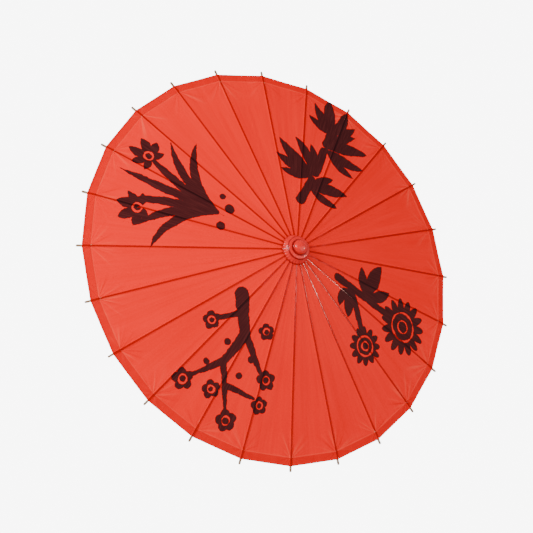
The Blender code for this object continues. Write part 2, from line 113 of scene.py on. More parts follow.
CLEARANCE = 0.0003  # between a turned piece and what it sits on or round
SHAFT_NODE_FIRST = 0.150  # height of the cane's lowest joint
SHAFT_NODE_SPACING = 0.125
RIM_ROLL = 0.0024  # width of the paper's rolled rim
RIM_BEAD = 0.0005  # height of that roll
PUCKER_REACH = 0.030  # how far from the hem's corners the fanned folds fade
CAP_SHOULDER = 0.72  # share of the crown cap's height where its step begins
POLISH_SEED = 193428
POLISHED_RIB = 19.5  # the rib number, between two ribs, round which the ribs are rubbed most
RIDGES_LIT = (17, 22)  # the ribs between which the ridge light is mirrored to the camera
BACKDROP_LIGHT = 0.8  # strength of the backdrop on the umbrella
BACKDROP_SHOWN = 8.0  # strength of the backdrop as the camera sees it


# Settings


def length(name, description, default, **limits):
    return FloatProperty(
        name=name, description=description, default=default, unit="LENGTH", precision=5, **limits
    )


def colour(name, description, default):
    return FloatVectorProperty(
        name=name, description=description, default=default, subtype="COLOR", size=3, min=0.0, max=1.0
    )


class UmbrellaSizes(bpy.types.PropertyGroup):
    paper_thickness: length("Paper", "Thickness of the oiled paper", 0.00025)
    rib_top: length("Rib top", "Height of a rib's top above the line through its pivots", 0.0025)
    strip_half_width: length("Glued strip", "Half the width of the paper glued to a rib", 0.0020)
    rib_half_width: length("Rib half width", "Half the width of a rib", 0.00225)
    ridge_height: length("Ridge", "How far the paper drops beside a rib", 0.0007)
    gore_sag: length("Sag", "How far the paper hangs between two ribs", 0.0016)
    wrinkle_height: length("Wrinkles", "Height of the paper's long wrinkles", 0.00012)
    pucker_height: length("Puckers", "Height of the folds that fan out from the rim's corners", 0.00065)
    hem_width: length("Hem", "Width of the folded hem", 0.0160)
    hem_step: length("Hem step", "Extra thickness of the folded hem", 0.00030)
    hole_radius: length("Crown hole", "Where the paper starts under the crown cap", 0.0245)
    crown_radius: length("Crown cap", "Radius of the crown cap", 0.0300)
    step_radius: length("Crown step", "Radius of the step under the knob", 0.0215)
    knob_radius: length("Knob", "Radius of the knob", 0.0152)
    thread_radius: length("Thread", "Radius of the binding thread", 0.0004)
    edge_bevel: length("Worn edge", "How much the wooden edges are rounded", 0.00030)
    pleat_lean: FloatProperty(
        name="Pleat lean",
        description="How far the folded paper leans into the closed umbrella",
        default=math.radians(7),
        subtype="ANGLE",
    )
    pleat_keep: FloatProperty(
        name="Pleat width", description="Share of its width that a folded pleat keeps", default=0.003
    )
    rows: IntProperty(
        name="Paper rows", description="Rows of faces from the crown to the hem", default=56, min=8
    )


class UmbrellaColours(bpy.types.PropertyGroup):
    paper_light: colour("Paper, light", "Oiled paper where it is thin", (0.84, 0.012, 0.006))
    paper_deep: colour("Paper, deep", "Oiled paper where it is dense", (0.76, 0.004, 0.002))
    # Painted highlight on the folds by the hem and along the hem's seam.
    paper_pale: colour("Paper, pale", "Oiled paper where a fold catches the light", (0.90, 0.095, 0.050))
    # Also painted as shade on the sunk side of the folds by the hem.
    hem: colour("Hem", "Doubled paper of the hem", (0.62, 0.0, 0.0))
    rib_shade: colour("Rib shade", "Paper over a rib", (0.33, 0.001, 0.001))
    ink: colour("Ink", "Brush painting", (0.020, 0.007, 0.008))
    ink_on_rib: colour("Ink on ribs", "Brush painting over a rib", (0.006, 0.002, 0.003))
    ink_thin: colour("Thin ink", "Brush painting where the ink ran thin", (0.050, 0.013, 0.013))
    lacquer: colour("Lacquer", "Crown cap and knob", (0.62, 0.004, 0.003))
    lacquer_deep: colour("Lacquer, deep", "Lacquer where it is thick", (0.40, 0.002, 0.002))
    # Painted shade: the dark red painted where shadow falls in the crown's creases and under its edges.
    lacquer_shade: colour("Lacquer, creased", "Lacquer in the creases", (0.14, 0.001, 0.002))
    bamboo_light: colour("Bamboo, light", "Pale grain", (0.50, 0.29, 0.13))
    bamboo_dark: colour("Bamboo, dark", "Dark grain", (0.26, 0.13, 0.055))
    wood_light: colour("Wood, light", "Turned wood, pale grain", (0.24, 0.105, 0.045))
    wood_dark: colour("Wood, dark", "Turned wood, dark grain", (0.10, 0.040, 0.018))
    thread: colour("Thread", "Waxed binding thread", (0.12, 0.030, 0.020))
    floor: colour("Floor", "Studio floor", (1.0, 1.0, 1.0))


# Shader maths


def value_operator(operation, swapped=False):
    def apply(self, other):
        pair = (other, self) if swapped else (self, other)
        return self.shader.math(operation, *pair)

    return apply


class Value:
    """A number that varies over a surface. Arithmetic on it adds Math nodes."""

    def __init__(self, shader, socket):
        self.shader = shader
        self.socket = socket

    __add__ = value_operator("ADD")
    __radd__ = value_operator("ADD", swapped=True)
    __sub__ = value_operator("SUBTRACT")
    __rsub__ = value_operator("SUBTRACT", swapped=True)
    __mul__ = value_operator("MULTIPLY")
    __rmul__ = value_operator("MULTIPLY", swapped=True)
    __truediv__ = value_operator("DIVIDE")

    def __abs__(self):
        return self.shader.math("ABSOLUTE", self)


class Shader:
    """One material and the nodes of its pattern."""

    def __init__(self, name):
        self.material = bpy.data.materials.new(name)
        self.material.use_nodes = True
        self.tree = self.material.node_tree
        self.skin = self.tree.nodes["Principled BSDF"]

    def node(self, kind, settings=None, inputs=None, output=0):
        """Adds a node with its settings, then its inputs by name or index, and returns one output."""
        made = self.tree.nodes.new(kind)
        for name, value in (settings or {}).items():
            setattr(made, name, value)
        for name, value in (inputs or {}).items():
            self.feed(made.inputs[name], value)
        return Value(self, made.outputs[output])

    def feed(self, socket, value):
        if isinstance(value, Value):
            self.tree.links.new(value.socket, socket)
        elif value is not None:
            socket.default_value = value

    def math(self, operation, *values):
        return self.node("ShaderNodeMath", {"operation": operation}, dict(enumerate(values)))

    def vectors(self, operation, *values, output="Vector"):
        return self.node("ShaderNodeVectorMath", {"operation": operation}, dict(enumerate(values)), output)

    def step(self, low, high, value):
        """0 below low, 1 above high, smooth between."""
        inputs = {"Value": value, "From Min": low, "From Max": high}
        return self.node("ShaderNodeMapRange", {"interpolation_type": "SMOOTHSTEP"}, inputs)

    def mix(self, share, first, second):
        """A mix of two colours."""
        inputs = {0: share, 6: self.rgba(first), 7: self.rgba(second)}
        return self.node("ShaderNodeMix", {"data_type": "RGBA"}, inputs, 2)

    def rgba(self, value):
        return value if isinstance(value, Value) else (*value, 1.0)

    def uv(self, name):
        return self.node("ShaderNodeUVMap", {"uv_map": name})

    def place(self):
        return self.node("ShaderNodeTexCoord", output="Object")

    def parts(self, vector):
        made = self.tree.nodes.new("ShaderNodeSeparateXYZ")
        self.feed(made.inputs[0], vector)
        return [Value(self, made.outputs[n]) for n in range(3)]

    def vector(self, x=0.0, y=0.0, z=0.0):
        return self.node("ShaderNodeCombineXYZ", inputs={0: x, 1: y, 2: z})

    def noise(self, vector, scale, detail=2.0, rough=0.5):
        inputs = {"Vector": vector, "Scale": scale, "Detail": detail, "Roughness": rough}
        return self.node("ShaderNodeTexNoise", inputs=inputs)

    def finish(self, base, rough, bump=None, bump_height=0.0002, **constants):
        """Connects the surface and sets its constant sockets, given with _ for a space."""
        self.feed(self.skin.inputs["Base Color"], self.rgba(base))
        self.feed(self.skin.inputs["Roughness"], rough)
        for name, value in constants.items():
            self.skin.inputs[name.replace("_", " ")].default_value = value
        if bump is not None:
            inputs = {"Height": bump, "Strength": 1.0, "Distance": bump_height}
            self.feed(self.skin.inputs["Normal"], self.node("ShaderNodeBump", inputs=inputs))
        return self.material

    def let_light_through(self, share, base):
        """Mixes in a thin sheet's own glow, seen from the side away from the light."""
        glow = self.node("ShaderNodeBsdfTranslucent", inputs={"Color": base})
        inputs = {0: share, 1: Value(self, self.skin.outputs[0]), 2: glow}
        mixed = self.node("ShaderNodeMixShader", inputs=inputs)
        surface = self.tree.nodes["Material Output"].inputs["Surface"]
        self.tree.links.new(mixed.socket, surface)


# Ink paintings


class Ink:
    """A painting's outline as a distance, below 0 inside. x runs away from the crown, y to its left."""

    def __init__(self, shader, centre_radius, azimuth, size):
        self.shader = shader
        self.size = size
        away = Matrix.Rotation(-azimuth, 3, "Z")
        centre = Vector((0.5 + centre_radius * math.cos(azimuth), 0.5 + centre_radius * math.sin(azimuth), 0))
        inputs = {
            "Vector": shader.uv("plan"),
            "Scale": (1 / size,) * 3,
            "Rotation": (0, 0, -azimuth),
            "Location": -(away @ centre) / size,
        }
        self.point = shader.node("ShaderNodeMapping", {"vector_type": "POINT"}, inputs)
        self.distance = None

    def _join(self, distance):
        if self.distance is not None:
            distance = self.shader.math("MINIMUM", self.distance, distance)
        self.distance = distance

    def _from(self, centre):
        return self.shader.vectors("DISTANCE", self.point, (*centre, 0.0), output="Value")

    def _arc(self, start, end, bulge, keep_below):
        """Distance past the arc that leaves the chord by bulge, counted towards the side that is cut off."""
        chord = end - start
        across = Vector((-chord.y, chord.x)).normalized()
        radius = (chord.length_squared / 4 + bulge * bulge) / (2 * abs(bulge))
        towards = 1 if bulge > 0 else -1
        centre = (start + end) / 2 + across * (bulge - towards * radius)
        away = self._from(centre)
        inside = (bulge > 0) == keep_below
        return away - radius if inside else radius - away

    def stroke(self, start, heading, reach, width, bend=0.0):
        """A stroke with two pointed ends, fullest in the middle. heading is in degrees."""
        begin = Vector(start)
        turned = math.radians(heading)
        end = begin + reach * Vector((math.cos(turned), math.sin(turned)))
        upper = self._arc(begin, end, bend + width / 2, True)
        lower = self._arc(begin, end, bend - width / 2, False)
        self._join(self.shader.math("MAXIMUM", upper, lower))
        return end

    def limb(self, start, end, start_radius, end_radius):
        """A tapering stroke with two round ends."""
        shader = self.shader
        axis = Vector((*end, 0)) - Vector((*start, 0))
        share = axis / axis.length_squared
        from_start = shader.vectors("SUBTRACT", self.point, (*start, 0.0))
        along = shader.vectors("DOT_PRODUCT", from_start, tuple(share), output="Value")
        along = shader.math("MINIMUM", shader.math("MAXIMUM", along, 0.0), 1.0)
        nearest = shader.vectors("MULTIPLY", shader.vector(along, along, 0.0), tuple(axis))
        away = shader.vectors("DISTANCE", from_start, nearest, output="Value")
        self._join(away - start_radius - along * (end_radius - start_radius))

    def gap(self, centre, radius, width):
        """Leaves a bare ring in what is painted so far."""
        bare = width / 2 - abs(self._from(centre) - radius)
        self.distance = self.shader.math("MAXIMUM", self.distance, bare)

    def fan(self, start, heading, spread, count, reach, width, bend=0.0):
        """Strokes that leave one point, the middle ones longest."""
        for n in range(count):
            share = n / (count - 1) - 0.5
            longer = 1 - 0.5 * abs(share)
            lean = bend if share >= 0 else -bend
            self.stroke(start, heading + spread * share, reach * longer, width * longer, lean)

    def dot(self, centre, radius):
        self._join(self._from(centre) - radius)

    def blossom(self, centre, radius, petals, depth):
        """A round flower with scalloped petals."""
        shader = self.shader
        x, y, _ = shader.parts(shader.vectors("SUBTRACT", self.point, (*centre, 0.0)))
        scallop = abs(shader.math("COSINE", shader.math("ARCTAN2", y, x) * (petals / 2)))
        self._join(self._from(centre) - radius * (1 - depth) - scallop * (radius * depth))

    def mask(self):
        """1 in the ink, 0 outside, with the ragged edge that a wet brush leaves on paper."""
        shader = self.shader
        fine = (shader.noise(self.point, 170, 3) - 0.5) * 0.0034
        broad = (shader.noise(self.point, 40, 1) - 0.5) * 0.006
        ragged = fine + broad
        return 1 - shader.step(-0.0006, 0.0006, self.distance * self.size + ragged)


def paint_bamboo(ink):
    """Three lengths of cane with a spray of leaves at each joint."""
    foot = Vector((-0.142, 0.022))
    for heading in (-9, -3, -12):
        turned = math.radians(heading)
        head = foot + 0.064 * Vector((math.cos(turned), math.sin(turned)))
        ink.limb(foot, head, 0.0098, 0.0088)
        foot = head.lerp(foot, -0.32)
    ink.fan((-0.066, 0.012), 66, 92, 5, 0.100, 0.0270, 0.006)
    ink.fan((0.014, 0.004), -62, 96, 5, 0.108, 0.0275, 0.006)
    ink.fan((0.062, -0.004), 20, 124, 5, 0.086, 0.0260, 0.005)
    ink.fan((-0.102, 0.010), -66, 56, 3, 0.092, 0.0260, 0.005)


def paint_orchid(ink):
    """A tuft of blades with two flowers and moss at its root."""
    root = (-0.124, 0.0)
    for n in range(7):
        share = n / 6 - 0.5
        ink.stroke(root, 106 * share, 0.226 - 0.11 * abs(share), 0.0190, -0.06 * share)
    for centre, heading in (((0.036, 0.066), 30), ((0.058, -0.054), -24)):
        ink.fan(centre, heading, 236, 6, 0.046, 0.0225, 0.003)
        ink.gap(centre, 0.0090, 0.0032)
    for centre, radius in (((-0.130, 0.024), 0.0095), ((-0.134, -0.020), 0.0105), ((-0.112, -0.040), 0.0070)):
        ink.dot(centre, radius)


def paint_plum(ink):
    """A crooked branch with five-petalled blossoms and buds."""
    bends = [(-0.150, -0.064), (-0.074, -0.012), (0.004, -0.026), (0.092, 0.030)]
    for n, (start, end) in enumerate(zip(bends, bends[1:])):
        ink.limb(start, end, 0.0165 - 0.0040 * n, 0.0125 - 0.0040 * n)
    ink.limb((-0.074, -0.010), (-0.018, 0.066), 0.0100, 0.0050)
    ink.limb((0.000, -0.026), (0.066, -0.078), 0.0090, 0.0045)
    ink.limb((0.046, 0.002), (0.038, 0.078), 0.0075, 0.0045)
    ink.limb((-0.116, -0.040), (-0.076, -0.084), 0.0090, 0.0050)
    for centre, radius in (
        ((0.112, 0.044), 0.0260),
        ((-0.012, 0.084), 0.0240),
        ((0.082, -0.090), 0.0255),
        ((0.044, 0.098), 0.0210),
        ((0.070, -0.022), 0.0215),
        ((-0.064, -0.096), 0.0215),
        ((-0.106, 0.030), 0.0200),
    ):
        ink.blossom(centre, radius, 5, 0.26)
        ink.gap(centre, radius * 0.36, 0.0030)
    for centre in ((-0.034, 0.028), (0.022, -0.062), (0.012, 0.022), (-0.040, -0.040)):
        ink.dot(centre, 0.0080)


def paint_chrysanthemum(ink):
    """Two many-petalled heads on one stem, with broad leaves."""
    ink.limb((-0.150, 0.010), (0.004, 0.014), 0.0092, 0.0080)
    ink.limb((-0.108, 0.008), (-0.044, -0.058), 0.0080, 0.0065)
    for centre, radius, petals in (((0.050, 0.014), 0.0620, 15), ((-0.024, -0.080), 0.0410, 12)):
        ink.blossom(centre, radius, petals, 0.30)
        ink.gap(centre, radius * 0.50, 0.0036)
        ink.gap(centre, radius * 0.22, 0.0030)
    ink.fan((-0.062, 0.016), 84, 84, 3, 0.088, 0.0340, 0.004)
    ink.fan((-0.118, 0.004), -64, 56, 3, 0.062, 0.0270, 0.004)


PAINTINGS = [  # plant, azimuth in degrees, distance of its middle from the shaft in metres, and size
    ("bamboo", paint_bamboo, 48, 0.264, 1.04),
    ("orchid", paint_orchid, 139, 0.274, 0.94),
    ("plum", paint_plum, 226, 0.258, 0.84),
    ("chrysanthemum", paint_chrysanthemum, 318, 0.254, 0.96),
]


# Materials


def paper_material(colours, sizes, plant, paint, azimuth, distance, size):
    """Red oiled paper with radial fibres, the ribs showing through, a doubled hem and an ink painting, with
    painted highlights and shade on the folds by the hem and along its seam.
    """
    shader = Shader(f"oiled_paper_{plant}")
    plan = shader.uv("plan")
    across, along, _ = shader.parts(shader.uv("gore"))
    beside = abs(across - 0.5)
    x, y, _ = shader.parts(plan)
    turn = shader.math("ARCTAN2", y - 0.5, x - 0.5)

    fibre = shader.noise(shader.vector(turn * 90, along * 9), 1.0, 3, 0.6)
    streak = shader.noise(shader.vector(turn * 26, along * 5, 7.0), 1.0, 3, 0.55)
    cloud = shader.noise(plan, 9.0, 3, 0.5)
    from_rim = RIM_RADIUS - sizes.hem_width - along
    fan_turn = shader.math("ARCTAN2", beside, abs(from_rim) + 0.002)
    fan = shader.noise(shader.vector(fan_turn * 4.5, turn * 3, along * 8), 1.0, 2, 0.5)
    near_corner = 1 - shader.step(0.005, 0.075, shader.math("SQRT", beside * beside + from_rim * from_rim))
    fan_fold = (fan - 0.5) * near_corner

    thin = shader.step(0.30, 0.72, fibre * 0.35 + streak * 0.40 + cloud * 0.25)
    base = shader.mix(thin, colours.paper_deep, colours.paper_light)
    # Painted highlight and painted shade: the folds fanning from the hem's corners are painted paler on their
    # raised side and darker, in the hem's colour, on their sunk side.
    base = shader.mix(shader.step(0.00, 0.24, fan_fold) * 0.55, base, colours.paper_pale)
    base = shader.mix(shader.step(0.02, 0.24, 0 - fan_fold) * 0.8, base, colours.hem)
    in_hem = shader.step(-0.0006, 0.0006, along - (RIM_RADIUS - sizes.hem_width))
    base = shader.mix(in_hem * (0.72 + 0.9 * (streak - 0.5)), base, colours.hem)
    # Painted highlight: a pale line along the hem's seam.
    hem_seam = 1 - shader.step(0.0004, 0.0016, abs(along - (RIM_RADIUS - sizes.hem_width - 0.0006)))
    base = shader.mix(hem_seam * 0.22, base, colours.paper_pale)

    edge = sizes.rib_half_width
    over_rib = 1 - shader.step(edge * 0.62, edge * 1.0, beside)
    broken = shader.step(0.34, 0.62, shader.noise(shader.vector(across * 300, along * 60, 1.0), 1.0, 2, 0.6))
    polish = shader.node("ShaderNodeAttribute", {"attribute_name": "polish"}, output="Fac")
    near_crown = 1 - shader.step(0.05, 0.19, along)
    gloss_and_painted_sheen = near_crown * polish * (0.25 + 0.75 * broken)
    # Painted highlight: the rib lines are painted less dark where the ribs are polished near the crown, on
    # the side where the ridge light's highlights fall.
    rib_depth = (0.92 + 0.4 * (streak - 0.5)) * (1 - 0.7 * gloss_and_painted_sheen)
    base = shader.mix(over_rib * rib_depth, base, colours.rib_shade)

    ink = Ink(shader, distance, math.radians(azimuth), size)
    paint(ink)
    dry = shader.noise(shader.vector(turn * 140, along * 22, 5.0), 1.0, 2, 0.6)
    ink_tone = shader.mix(shader.step(0.35, 0.75, dry), colours.ink, colours.ink_thin)
    ink_tone = shader.mix(over_rib * 0.8, ink_tone, colours.ink_on_rib)
    inked = ink.mask()
    base = shader.mix(inked * 0.97, base, ink_tone)

    rough = 0.44 + 0.16 * (cloud - 0.5) + 0.08 * inked
    gloss = over_rib * (0.02 + 0.63 * gloss_and_painted_sheen)
    bump = fibre * 0.5 + streak * 0.8 + fan_fold * 2.4 + inked * 0.10
    shader.feed(shader.skin.inputs["Coat Weight"], gloss)
    made = shader.finish(base, rough, bump, 0.00045, Specular_IOR_Level=0.02, Coat_Roughness=0.14)
    shader.let_light_through(0.22, base)
    return made


def grain_material(name, light, dark, rough, node_spacing=0.0, worn_from=1.0):
    """Bamboo or wood with its grain along the first axis of the grain map, darkened past worn_from."""
    shader = Shader(name)
    along, across, _ = shader.parts(shader.uv("grain"))
    fine = shader.noise(shader.vector(along * 14, across * 2600), 1.0, 3, 0.6)
    broad = shader.noise(shader.vector(along * 5, across * 420, 4.0), 1.0, 2, 0.5)
    tone = shader.step(0.28, 0.72, fine * 0.55 + broad * 0.45)
    base = shader.mix(tone, dark, light)
    bump = fine
    if node_spacing:
        near = abs(shader.math("FRACT", along / node_spacing + 0.5) - 0.5)
        knot = 1 - shader.step(0.006, 0.018, near)
        base = shader.mix(knot * 0.55, base, dark)
        bump = fine * 0.6 + knot * 1.4
    worn = shader.step(worn_from, worn_from + 0.004, along)
    base = shader.mix(worn * 0.8, base, [c * 0.4 for c in dark])
    return shader.finish(base, rough + 0.18 * (1 - tone), bump, 0.00012)


def shaft_material(colours):
    """Bamboo with its grain up the shaft and a scar at each joint of the cane."""
    shader = Shader("shaft_bamboo")
    place = shader.place()
    x, y, z = shader.parts(place)
    turn = shader.math("ARCTAN2", y, x)
    fine = shader.noise(shader.vector(turn * 34, z * 7), 1.0, 4, 0.6)
    stain = shader.noise(shader.vector(turn * 1.5, z * 9, 2.0), 1.0, 3, 0.6)
    tone = shader.step(0.25, 0.75, fine * 0.5 + stain * 0.5)
    near = abs(shader.math("FRACT", (z - SHAFT_NODE_FIRST) / SHAFT_NODE_SPACING + 0.5) - 0.5)
    scar = 1 - shader.step(0.012, 0.035, near)
    base = shader.mix(tone, colours.bamboo_dark, colours.bamboo_light)
    base = shader.mix(scar * 0.6, base, colours.bamboo_dark)
    return shader.finish(base, 0.34 + 0.2 * (1 - tone), fine, 0.00010, Coat_Weight=0.25, Coat_Roughness=0.25)


def turned_wood_material(name, colours, rough):
    """Dark turned wood with growth rings and fine lathe marks."""
    shader = Shader(name)
    place = shader.place()
    x, y, z = shader.parts(place)
    rings = shader.noise(shader.vector(x * 420, y * 90, z * 18), 1.0, 3, 0.6)
    pores = shader.noise(shader.vector(x * 1500, y * 1500, z * 160), 1.0, 2, 0.5)
    lathe_marks = shader.noise(shader.vector(0.0, 0.0, z * 2400), 1.0, 1)
    tone = shader.step(0.28, 0.74, rings * 0.7 + pores * 0.3)
    base = shader.mix(tone, colours.wood_dark, colours.wood_light)
    bump = pores * 0.6 + lathe_marks * 0.5
    return shader.finish(base, rough + 0.15 * pores, bump, 0.00012, Coat_Weight=0.3, Coat_Roughness=0.2)


def lacquer_material(name, colours, rough, coat, shade_rings):
    """Red lacquer, with painted shade in rings at its creases and under its edges, given as (radius, width,
    share).
    """
    shader = Shader(name)
    place = shader.place()
    x, y, z = shader.parts(place)
    turn = shader.math("ARCTAN2", y, x)
    out = shader.math("SQRT", x * x + y * y)
    brush = shader.noise(shader.vector(turn * 11, z * 900, out * 160), 1.0, 2, 0.5)
    blot = shader.noise(place, 150, 3, 0.55)
    tone = shader.step(0.30, 0.70, brush * 0.55 + blot * 0.45)
    base = shader.mix(tone * 0.8 + 0.2, colours.lacquer_deep, colours.lacquer)
    for radius, width, share in shade_rings:
        # Painted shade: each ring darkens the lacquer where shadow falls.
        ring = 1 - shader.step(width * 0.35, width, abs(out + (blot - 0.5) * 0.002 - radius))
        base = shader.mix(ring * share, base, colours.lacquer_shade)
    bump = blot * 0.8 + brush * 1.0
    return shader.finish(
        base,
        rough + 0.12 * blot,
        bump,
        0.0003,
        Specular_IOR_Level=0.12,
        Coat_Weight=coat,
        Coat_Roughness=0.10,
    )


def thread_material(colours):
    """Waxed two-ply thread."""
    shader = Shader("waxed_thread")
    place = shader.place()
    x, y, z = shader.parts(place)
    twist = shader.math("SINE", (x + y) * 5200 + z * 7800)
    fuzz = shader.noise(place, 2600, 2, 0.6)
    base = shader.mix(shader.step(-1.0, 1.0, twist) * 0.5 + fuzz * 0.4, (0.04, 0.012, 0.010), colours.thread)
    return shader.finish(base, 0.55 + 0.2 * fuzz, twist, 0.00008)


def pale_floor_material(colours):
    """An even, shadowless floor that looks brighter than it lights the umbrella."""
    made = bpy.data.materials.new("pale_floor")
    made.use_nodes = True
    fill_backdrop(made.node_tree, made.node_tree.nodes["Material Output"].inputs["Surface"], colours.floor)
    return made


def fill_backdrop(tree, surface, tint):
    """Shows an even pale tone and gives off less light than it shows."""
    path = tree.nodes.new("ShaderNodeLightPath")
    glow = tree.nodes.new("ShaderNodeEmission")
    strength = tree.nodes.new("ShaderNodeMix")
    strength.inputs["A"].default_value = BACKDROP_LIGHT
    strength.inputs["B"].default_value = BACKDROP_SHOWN
    tree.links.new(path.outputs["Is Camera Ray"], strength.inputs["Factor"])
    tree.links.new(strength.outputs["Result"], glow.inputs["Strength"])
    glow.inputs["Color"].default_value = (*tint, 1.0)
    tree.links.new(glow.outputs[0], surface)


# Mesh work


def turn_about_shaft(n):
    return Matrix.Rotation(n * SECTOR, 4, "Z")


def rib_matrix(n):
    """From a rib's own frame, x along it from the crown pivot, to the world."""
    return turn_about_shaft(n) @ Matrix.Translation(CROWN_PIVOT) @ Matrix.Rotation(SLOPE, 4, "Y")


def stretcher_matrix(n):
    """From a stretcher's own frame, x along it from the rib pivot, to the world."""
    sloped = Matrix.Rotation(math.pi - SLOPE, 4, "Y")
    return turn_about_shaft(n) @ Matrix.Translation(STRETCHER_PIVOT) @ sloped


def smooth(share):
    share = max(0.0, min(1.0, share))
    return share * share * (3 - 2 * share)


def finish_piece(name, bm, look, body, replaced=(), sharp=40.0):
    """Turns a bmesh into a shown piece that rides on a body."""
    mesh = bpy.data.meshes.new(name)
    bm.to_mesh(mesh)
    bm.free()
    mesh.materials.append(look)
    mesh.shade_smooth()
    mesh.set_sharp_from_angle(angle=math.radians(sharp))
    made = bpy.data.objects.new(name, mesh)
    bpy.context.scene.collection.objects.link(made)
    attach(made, body)
    if replaced:
        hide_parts(*replaced)
    return made


def lathe(profile, steps):
    """A closed outline of (radius, height) points turned about the shaft's axis."""
    bm = bmesh.new()
    points = [bm.verts.new((radius, 0, height)) for radius, height in profile]
    edges = [bm.edges.new(pair) for pair in zip(points, points[1:] + points[:1])]
    bmesh.ops.spin(
        bm,
        geom=points + edges,
        cent=(0, 0, 0),
        axis=(0, 0, 1),
        angle=2 * math.pi,
        steps=steps,
        use_merge=True,
    )
    bmesh.ops.remove_doubles(bm, verts=bm.verts, dist=1e-7)
    bmesh.ops.dissolve_degenerate(bm, edges=bm.edges, dist=1e-8)
    bmesh.ops.recalc_face_normals(bm, faces=bm.faces)
    return bm


def rounded(profile, cuts=2):
    """The same outline with each corner cut into an arc-like run of points."""
    for _ in range(cuts):
        finer = []
        for before, after in zip(profile, profile[1:] + profile[:1]):
            a, b = Vector(before), Vector(after)
            finer += [a.lerp(b, 0.25), a.lerp(b, 0.75)]
        profile = [tuple(point) for point in finer]
    return profile


def softened(node, width):
    """A copy of a frame part as one clean solid with its edges rounded."""
    bm = bmesh.new()
    bm.from_mesh(frame["nodes"][node].data)
    bmesh.ops.remove_doubles(bm, verts=bm.verts, dist=1e-6)
    flat = math.radians(0.5)
    bmesh.ops.dissolve_limit(bm, angle_limit=flat, verts=bm.verts, edges=bm.edges)
    corner = math.radians(28)
    edges = [edge for edge in bm.edges if len(edge.link_faces) == 2 and edge.calc_face_angle() > corner]
    bmesh.ops.bevel(
        bm,
        geom=edges,
        offset=width,
        offset_type="OFFSET",
        affect="EDGES",
        segments=2,
        profile=0.5,
        material=-1,
        clamp_overlap=True,
    )
    bmesh.ops.triangulate(bm, faces=[face for face in bm.faces if len(face.verts) > 4])
    return bm


def map_grain(bm, local):
    """Writes the grain map: x along the piece and its girth, both in metres."""
    layer = bm.loops.layers.uv.new("grain")
    for face in bm.faces:
        for loop in face.loops:
            point = local @ loop.vert.co
            loop[layer].uv = (point.x, point.y + 0.7 * point.z)


# Canopy paper


def rib_polish():
    """How glossy the paper over each rib is rubbed, most on one side of the umbrella."""
    draw = random.Random(POLISH_SEED)
    rubbed = []
    for number in range(RIB_COUNT):
        facing = 0.5 + 0.5 * math.cos((number - POLISHED_RIB) * SECTOR)
        rubbed.append(draw.random() * facing**1.5)
    return rubbed


RIB_POLISH = rib_polish()


class Gore:
    """The paper between two ribs. across is measured from its first rib, along from the shaft."""

    def __init__(self, number, sizes):
        self.sizes = sizes
        draw = random.Random(1000 + number)
        self.phases = [draw.uniform(0, 2 * math.pi) for _ in range(8)]
        self.fans = [draw.uniform(0.5, 1.0) for _ in range(2)]

    def wrinkles(self, across, along):
        """Long wrinkles that run from crown to rim and die out at the ribs."""
        width = 2 * along * math.sin(SECTOR / 2)
        share = across / width
        total = 0.0
        for n, cycles in enumerate((1.5, 2.6, 4.1, 6.3)):
            drift = 9 * (n + 1) * along
            total += math.sin(2 * math.pi * cycles * share + drift + self.phases[n]) / (n + 1) ** 0.5
        return self.sizes.wrinkle_height * total * math.sin(math.pi * share) * smooth(along / 0.12)

    def puckers(self, across, along):
        """Folds that fan out from the hem at both ribs."""
        width = 2 * along * math.sin(SECTOR / 2)
        from_hem = RIM_RADIUS - self.sizes.hem_width - along
        total = 0.0
        for end, beside in enumerate((across, width - across)):
            turn = math.atan2(beside, abs(from_hem) + 0.003)
            away = math.hypot(beside, from_hem)
            wave = math.sin(8.5 * turn + self.phases[4 + end])
            wave += 0.5 * math.sin(15 * turn + self.phases[6 + end])
            total += self.fans[end] * wave * math.sin(2 * turn) * math.exp(-away / PUCKER_REACH)
        return self.sizes.pucker_height * total * smooth(from_hem / 0.010 + 1)

    def height(self, beside, half, along):
        """How far the paper drops from the line of the rib's top, at a distance from the nearer rib."""
        sizes = self.sizes
        edge = sizes.rib_half_width
        ridge = smooth((beside - edge * 0.8) / (edge * 0.75)) * smooth((half - 0.003) / 0.010)
        hang = (1 - math.cos(math.pi * beside / half)) / 2 * along / RIM_RADIUS
        near_rim = smooth((RIM_RADIUS - along) / 0.05)
        return -sizes.ridge_height * ridge - sizes.gore_sag * hang * (0.3 + 0.7 * near_rim)


def paper_rows(sizes):
    """Distances of the paper's rows from the shaft, close together where the hem and its rolled edge are."""
    hem = RIM_RADIUS - sizes.hem_width
    start = sizes.hole_radius
    rows = [start + (hem - 0.0012 - start) * n / sizes.rows for n in range(sizes.rows + 1)]
    rows += [hem - 0.0004, hem + 0.0004]
    rows += [hem + (RIM_RADIUS - RIM_ROLL - hem) * n / 6 for n in range(1, 7)]
    rows += [RIM_RADIUS - edge for edge in (0.0019, 0.0014, 0.0008, 0.0003, 0.0)]
    return rows


def strip_columns(half, sizes):
    """Distances across the strip of paper glued to the rib, the same however wide the gore is."""
    edge = sizes.strip_half_width
    return [-edge, -0.55 * edge, 0.0, 0.55 * edge, edge]


def side_columns(half, sizes):
    """Distances from the strip's edge to the gore's middle, close together beside the rib."""
    edge = sizes.strip_half_width
    wide = half - edge
    near = [edge + offset * min(1.0, wide / 0.007) for offset in (0.0, 0.0004, 0.0010, 0.0018, 0.0030)]
    return near + [near[-1] + (half - near[-1]) * n / 9 for n in range(1, 10)]


